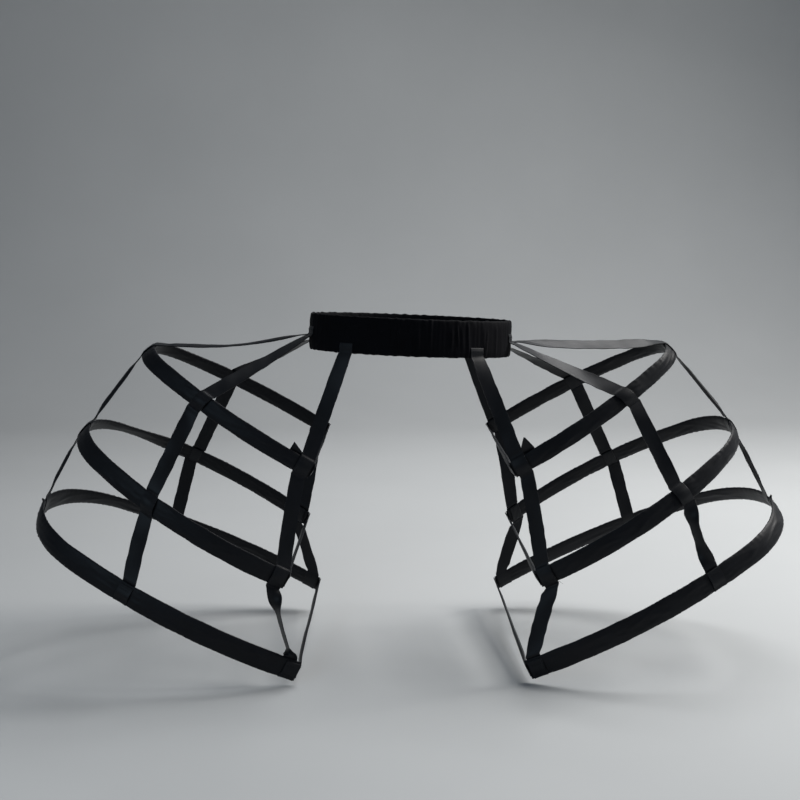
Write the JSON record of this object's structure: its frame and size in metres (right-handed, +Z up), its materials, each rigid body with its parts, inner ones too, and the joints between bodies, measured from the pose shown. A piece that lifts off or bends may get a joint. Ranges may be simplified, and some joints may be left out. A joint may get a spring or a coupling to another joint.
{
  "type": "crinoline cage",
  "caption": "Crinoline side hoops: a gathered elastic waistband carries an open cage of padded satin hoops and tapes at each hip, to hold a skirt out wide.",
  "frame": {"origin": "middle of the waist opening, half way up the waistband", "axes": "+X to the right as seen from the front, along the wide spread of the cages; +Y to the back; +Z up out of the waist"},
  "size_m": [0.9156, 0.2926, 0.406],
  "materials": {
    "waistband_cloth": "matte, gathered",
    "hoop_satin": "soft satin sheen",
    "tape_satin": "satin ribbon",
    "bone": "plain",
    "elastic": "woven over rubber"
  },
  "bodies": {
    "root": {"waistband_casing": "waistband_cloth", "waistband_elastic": "elastic", "left_top_casing": "hoop_satin", "left_top_bone": "bone", "left_top_stay": "tape_satin", "left_middle_casing": "hoop_satin", "left_middle_bone": "bone", "left_middle_stay": "tape_satin", "left_bottom_casing": "hoop_satin", "left_bottom_bone": "bone", "left_bottom_stay": "tape_satin", "right_top_casing": "hoop_satin", "right_top_bone": "bone", "right_top_stay": "tape_satin", "right_middle_casing": "hoop_satin", "right_middle_bone": "bone", "right_middle_stay": "tape_satin", "right_bottom_casing": "hoop_satin", "right_bottom_bone": "bone", "right_bottom_stay": "tape_satin", "left_front_tape": "tape_satin", "left_front_quarter_tape": "tape_satin", "left_side_tape": "tape_satin", "left_back_quarter_tape": "tape_satin", "left_back_tape": "tape_satin", "right_front_tape": "tape_satin", "right_front_quarter_tape": "tape_satin", "right_side_tape": "tape_satin", "right_back_quarter_tape": "tape_satin", "right_back_tape": "tape_satin"}
  },
  "joints": []
}
